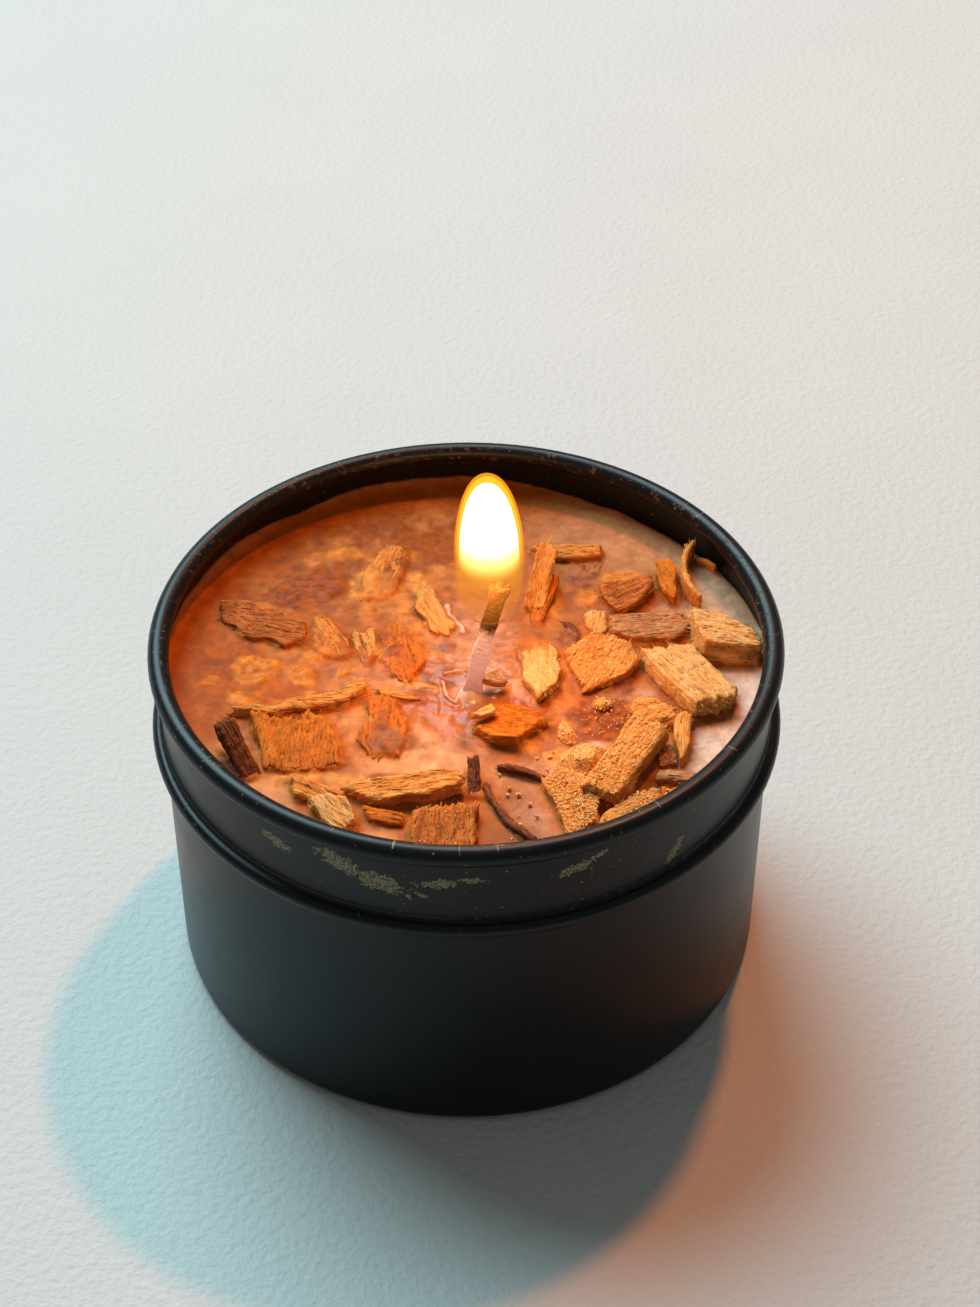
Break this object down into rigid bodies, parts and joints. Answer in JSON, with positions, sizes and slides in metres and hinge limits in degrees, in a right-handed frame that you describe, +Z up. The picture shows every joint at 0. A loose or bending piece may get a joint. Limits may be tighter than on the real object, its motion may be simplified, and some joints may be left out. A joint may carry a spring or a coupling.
{
  "type": "candle tin",
  "caption": "Round black seamless tin holding a poured candle with a lit cotton wick and wood chips and sawdust set in the top of the wax.",
  "frame": {"origin": "middle of the tin's foot, on the surface it stands on", "axes": "+Z up along the tin's axis, towards the open rim; -Y is the front, X is across"},
  "size_m": [0.0786, 0.0786, 0.0756],
  "materials": {
    "tin_paint": "satin black paint on tinplate, worn to olive-gold metal in patches on the neck",
    "wax": "soft translucent wax, glossy where it is melted",
    "wick_cotton": "waxed flat cotton braid, charred black at the tip",
    "wick_metal": "stamped tinplate",
    "adhesive": "soft foam adhesive",
    "flame": "glowing gas, white above and orange at the wick",
    "wood_pale": "split pale softwood with open fibres",
    "wood_orange": "orange-stained split wood, wet with wax",
    "wood_dark": "dark red-brown bark and heartwood",
    "sawdust": "coarse loose sawdust"
  },
  "bodies": {
    "root": {"chip_amber_back": "wood_orange", "chip_amber_right": "wood_orange", "chip_bright_wick": "wood_pale", "chip_brown_back": "wood_dark", "chip_brown_right": "wood_dark", "chip_cream_front": "wood_pale", "chip_cream_right": "wood_pale", "chip_curved_back": "wood_orange", "chip_dark_end": "wood_orange", "chip_dark_foot": "wood_dark", "chip_dark_sliver": "wood_dark", "chip_dark_wick": "wood_dark", "chip_fan_left": "wood_orange", "chip_fibrous_front": "wood_pale", "chip_fuzzy_back": "wood_orange", "chip_fuzzy_left": "wood_orange", "chip_glow_wick": "wood_orange", "chip_leaf_middle": "wood_pale", "chip_leaf_wick": "wood_pale", "chip_ledge_left": "wood_orange", "chip_long_brown": "wood_dark", "chip_long_front": "wood_pale", "chip_olive_front": "wood_orange", "chip_orange_back": "wood_orange", "chip_orange_middle": "wood_orange", "chip_orange_rim": "wood_orange", "chip_pale_back": "wood_pale", "chip_pale_front": "wood_pale", "chip_pale_left": "wood_pale", "chip_ribbed_front": "wood_dark", "chip_rim_block": "wood_pale", "chip_rust_back": "wood_orange", "chip_square": "wood_pale", "chip_straw_back": "wood_pale", "chip_straw_middle": "wood_pale", "chip_strip_left": "wood_orange", "chip_sunk_left": "wood_orange", "chip_sunk_middle": "wood_orange", "chip_sunk_rim": "wood_orange", "chip_thin_right": "wood_pale", "chip_umber_right": "wood_dark", "chip_wide_front": "wood_pale", "flame": "flame", "sawdust_clumps": "sawdust", "sawdust_crumbs": "sawdust", "sawdust_heap": "sawdust", "shaving_arc_right": "wood_pale", "shaving_curl_right": "wood_pale", "shaving_front_left": "wood_dark", "shaving_front_right": "wood_dark", "sliver_front": "wood_dark", "stick_dark_left": "wood_dark", "stick_powdered": "wood_pale", "stick_rim_right": "wood_dark", "stick_upright_back": "wood_pale", "tin_body": "tin_paint", "wax_fill": "wax", "wick": "wick_cotton", "wick_foot": "wick_metal", "wick_sticker": "adhesive"}
  },
  "joints": []
}
